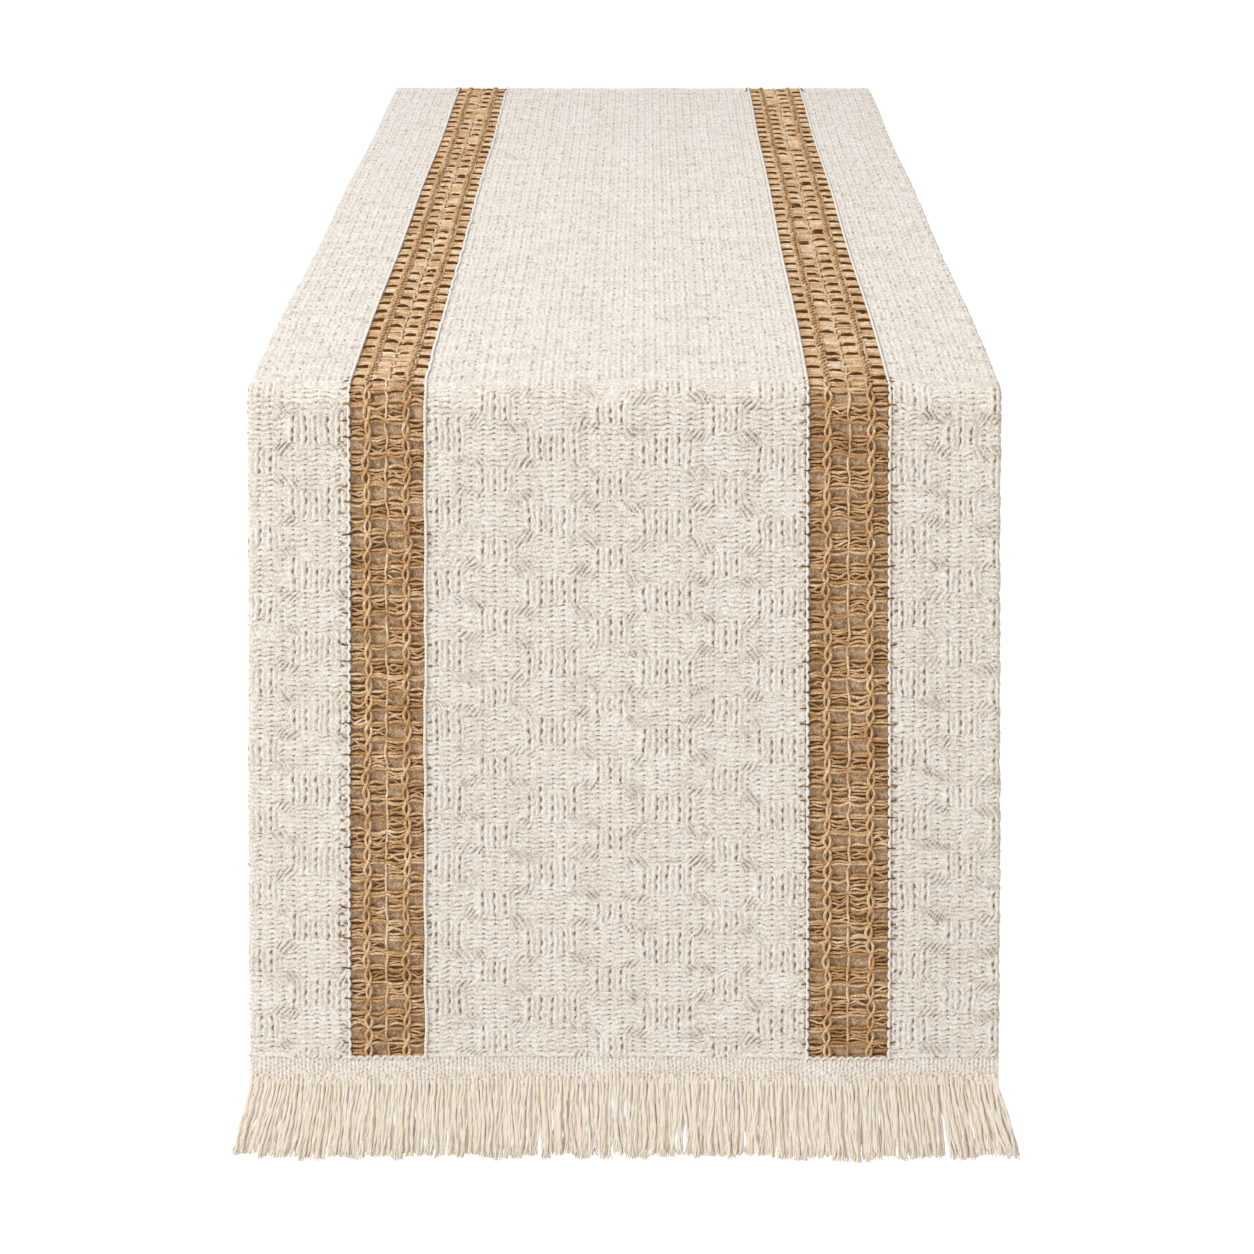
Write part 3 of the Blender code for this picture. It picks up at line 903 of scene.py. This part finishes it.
def hem_band(end_name):
    """The ribbed band across one end."""
    end = ENDS[end_name]
    ribs = round(2 * HALF_WIDTH / HEM_RIB)
    columns, rows = ribs * HEM_RIB_STEPS, 24
    i, j = np.meshgrid(np.arange(columns + 1), np.arange(rows + 1), indexing="ij")
    across = -HALF_WIDTH + 2 * HALF_WIDTH * i / columns
    travel = CLOTH_END + (HEM_END - CLOTH_END) * (j if end > 0 else rows - j) / rows
    rib = np.floor(i / HEM_RIB_STEPS + 0.01)
    ridge = 1 - (2 * (i / HEM_RIB_STEPS - rib) - 1) ** 2
    stitch = (travel - CLOTH_END) / HEM_STITCH + 0.5 * (rib % 2)
    knot = 0.5 + 0.5 * np.cos(2 * math.pi * stitch)
    luck = 0.5 + 0.5 * wobble(rib, stitch, 50)
    pit = (ridge < 0.1) * (knot > 0.8)
    first_row = travel - CLOTH_END < 0.0008
    height = 0.25 + 0.60 * ridge * (0.4 + 0.6 * knot) - 0.35 * pit * luck
    height = height + 0.25 * wobble(i / 2, travel * 1500, 51)
    gap = first_row * (wobble(i / 1.7, 0.0, 52) > 0.35)
    shade = np.clip(0.10 * (ridge < 0.1) + 0.9 * pit * luck + 0.35 * gap + 0.35 * (0.5 - height), 0, 1)
    lower_edge = np.clip((HEM_END - travel) / 0.0012, 0, 1)
    lowered = (1 - np.sqrt(1 - (1 - lower_edge) ** 2)) * 0.0005
    shift = 0.0004 * wobble(i / 9, travel * 300, 53) * smooth(np.minimum(i, columns - i) / 8)
    top = np.stack([across + shift, end * travel, THICKNESS - 0.0001 - 0.0008 * (1 - height) - lowered], -1)
    piece = cloth_sheet(f"{end_name}_hem_band", top, lambda a, b: 0 * a + 0.0002, cotton, shade, (8, 6))
    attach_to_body(piece, f"{end_name}_drop")
    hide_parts(f"{end_name}_hem")
    return piece


def hem_teeth(end_name):
    """White loops of the hem's edge that reach up over the end of each stripe."""
    end = ENDS[end_name]
    paths = []
    for low, high in STRIPES.values():
        across = np.linspace(low, high, 121)
        point = np.abs(np.sin(math.pi * (across - low) / HEM_TOOTH)) ** 0.8
        travel = CLOTH_END + 0.0004 - 0.0014 * point
        paths.append(np.stack([across, end * travel, THICKNESS - 0.0002 + 0.0004 * point], -1))
    piece = tubes(f"{end_name}_hem_teeth", paths, 0.0005, 6, sewing_yarn, [0.0, 0.0])
    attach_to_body(piece, f"{end_name}_drop")
    return piece


FRINGE_LAYERS = 4
STRANDS_IN_LAYER = 196
FRINGE_SPREAD = 1.75 * (cad_high.x - HALF_WIDTH)
BUNCHES = 62
GATHER = 0.16  # how far a bunch draws its strands' tips together, as a share of its width
LAYER_GAP = 0.00042
PLY_YARN = 0.00056
PLY_TWIST = 0.016  # one turn of a strand's two plies
FRINGE_FOLD = 0.006  # a height below the fringe's top, used only for a point that nothing reads


def fringe_strands(end_name, seed):
    """Loose two-ply warp ends that hang from the hem in layers, gathered into bunches."""
    end = ENDS[end_name]
    draw = np.random.default_rng(seed)
    step = np.linspace(0, 1, 11)
    hang = FRINGE_END - HEM_END
    bunch_pull = draw.uniform(-1, 1, BUNCHES + 2)
    bunch_length = draw.uniform(0.93, 1.0, BUNCHES + 2)
    paths, radii, tints = [], [], []
    for layer in range(FRINGE_LAYERS):
        for strand in range(STRANDS_IN_LAYER):
            place = strand + 0.5 + draw.uniform(-0.25, 0.25)
            root = -HALF_WIDTH + 2 * HALF_WIDTH * place / STRANDS_IN_LAYER
            bunch = (root + HALF_WIDTH) / (2 * HALF_WIDTH) * BUNCHES
            number = int(bunch)
            pull = (number + 0.5 - bunch) * 2 * HALF_WIDTH / BUNCHES * GATHER + 0.0010 * bunch_pull[number]
            tip = FRINGE_SPREAD * (root / HALF_WIDTH) ** 3 + pull + draw.normal(0, 0.0007)
            length = hang * bunch_length[number] * draw.uniform(0.95, 1.0)
            phase, waves = draw.uniform(0, 2 * math.pi), draw.uniform(0.5, 1.3)
            bend = draw.uniform(0.0003, 0.0012)
            sway = bend * (np.sin(2 * math.pi * waves * step + phase) - math.sin(phase)) * step**0.5
            across = root + tip * step**1.2 + sway
            front = layer == FRINGE_LAYERS - 1
            start = HEM_END - (draw.uniform(0.0018, 0.0058) if front else 0.0010)
            out = 0.0006 + LAYER_GAP * layer + draw.uniform(-0.0002, 0.0002)
            out = out + draw.normal(0, 0.0005) * step**1.5 + front * 0.0007 * smooth(1 - step / 0.2)
            travel = start + (HEM_END + length - start) * step
            tint = draw.uniform(-0.08, 0.08)
            turn = 2 * math.pi * length / PLY_TWIST * step + draw.uniform(0, 6)
            for sign in (-1, 1):
                split = 0.00026 * (1 + 1.2 * smooth((step - 0.8) / 0.2))
                aside = across + sign * split * np.cos(turn)
                outward = out + sign * 0.00022 * np.sin(turn)
                paths.append(np.stack([aside, end * travel, outward], -1))
                radii.append(PLY_YARN * (1 - 0.45 * smooth((step - 0.75) / 0.25)))
                tints.append(tint + sign * 0.02)
    piece = tubes(f"{end_name}_fringe_strands", paths, np.array(radii), 5, fringe_yarn, tints)
    middle = end * (TABLE_EDGE + THICKNESS / 2)
    top = reach(f"{end_name}_fringe", 2)[HIGH]
    start, finish = (0, middle, top), (0, middle, top - FRINGE_FOLD)
    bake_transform(piece)
    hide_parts(f"{end_name}_fringe")
    return piece


# ---------------------------------------------------------------- the object

# The side that each seam's stripe is on, whether its yarn is scalloped, and how many rows have weft ends.
SEAMS = {
    "left_outer": (1, True, 0.85),
    "left_inner": (-1, False, 0.3),
    "right_inner": (1, True, 0.85),
    "right_outer": (-1, True, 0.85),
}


def stripe_trim(side, stretch):
    """The seams and the loose weft ends at both edges of one stripe."""
    made = []
    for number, (name, (stripe_side, scalloped, chance)) in enumerate(SEAMS.items()):
        if name.startswith(side):
            seam = seam_yarns(name, stretch, stripe_side, scalloped, 60 + number)
            made.append(seam)
            if stretch == "table":
                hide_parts(f"{name}_seam")
            else:
                made.append(weft_ends(name, stretch, stripe_side, chance, 70 + number))
    return made


def build_runner():
    for end_name, seed in (("near", 80), ("far", 81)):
        hem_band(end_name)
        hem_teeth(end_name)
        fringe_strands(end_name, seed)
    for stretch in STRETCHES:
        for name in PANELS:
            for piece, flat in cotton_strip(name, stretch):
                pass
        for side, seed in (("left", 101), ("right", 202)):
            piece, flat = backing_strip(side, stretch, seed)
            yarns = jute_stripe(side, stretch, seed) + stripe_trim(side, stretch)


build_runner()

# ---------------------------------------------------------------- studio

CAMERA_DISTANCE = 1.443  # from the near drop's back face
CAMERA_HEIGHT = 0.3104
CAMERA_ASIDE = 0.0087
CAMERA_DOWN = math.radians(15.8)
CAMERA_LEFT = math.radians(0.30)
CAMERA_LENS = 104.9
FLOOR_HEIGHT = -0.75


def add_camera():
    data = bpy.data.cameras.new("camera")
    data.lens = CAMERA_LENS
    data.sensor_width = 36.0
    camera = bpy.data.objects.new("camera", data)
    camera.location = (CAMERA_ASIDE, -TABLE_EDGE - CAMERA_DISTANCE, CAMERA_HEIGHT)
    camera.rotation_euler = (math.pi / 2 - CAMERA_DOWN, 0, CAMERA_LEFT)
    bpy.context.scene.collection.objects.link(camera)
    bpy.context.scene.camera = camera


def add_softbox(name, location, target, size, power, colour):
    data = bpy.data.lights.new(name, "AREA")
    data.shape = "SQUARE"
    data.size = size
    data.energy = power
    data.color = colour
    lamp = bpy.data.objects.new(name, data)
    lamp.location = location
    aim = np.array(target) - np.array(location)
    tilt = math.atan2(math.hypot(aim[0], aim[1]), -aim[2])
    lamp.rotation_euler = (tilt, 0, math.atan2(aim[0], -aim[1]) + math.pi)
    bpy.context.scene.collection.objects.link(lamp)


def add_studio():
    """A pale floor, a white surround, a key lamp in front on the left and a wide, cooler lamp above."""
    world = bpy.data.worlds.new("studio")
    world.use_nodes = True
    bpy.context.scene.world = world
    tree = world.node_tree
    surround = tree.nodes["Background"]
    surround.inputs["Color"].default_value = (1.0, 0.99, 0.975, 1.0)
    surround.inputs["Strength"].default_value = 0.32
    seen = tree.nodes.new("ShaderNodeBackground")
    seen.inputs["Color"].default_value = (1.0, 1.0, 1.0, 1.0)
    chooser = tree.nodes.new("ShaderNodeMixShader")
    path = tree.nodes.new("ShaderNodeLightPath")
    tree.links.new(path.outputs["Is Camera Ray"], chooser.inputs["Fac"])
    tree.links.new(surround.outputs["Background"], chooser.inputs[1])
    tree.links.new(seen.outputs["Background"], chooser.inputs[2])
    tree.links.new(chooser.outputs["Shader"], tree.nodes["World Output"].inputs["Surface"])

    bpy.ops.mesh.primitive_plane_add(size=60, location=(0, 0, FLOOR_HEIGHT))
    floor = bpy.context.object
    floor.name = "floor"
    paint = bpy.data.materials.new("floor")
    paint.use_nodes = True
    shader = paint.node_tree.nodes["Principled BSDF"]
    shader.inputs["Base Color"].default_value = (0.30, 0.30, 0.30, 1.0)
    shader.inputs["Roughness"].default_value = 1.0
    shader.inputs["Specular IOR Level"].default_value = 0.0
    shader.inputs["Emission Color"].default_value = (1.0, 1.0, 1.0, 1.0)
    shader.inputs["Emission Strength"].default_value = 0.93
    floor.data.materials.append(paint)

    add_softbox("key", (-1.6, -1.8, 1.6), (0, -0.4, -0.1), 0.7, 46.5, (1.0, 0.985, 0.965))
    add_softbox("overhead", (-0.3, 0.2, 2.0), (0, 0, 0), 1.5, 21.5, (0.95, 1.0, 1.09))
    bpy.context.scene.view_settings.view_transform = "Standard"


add_studio()
add_camera()
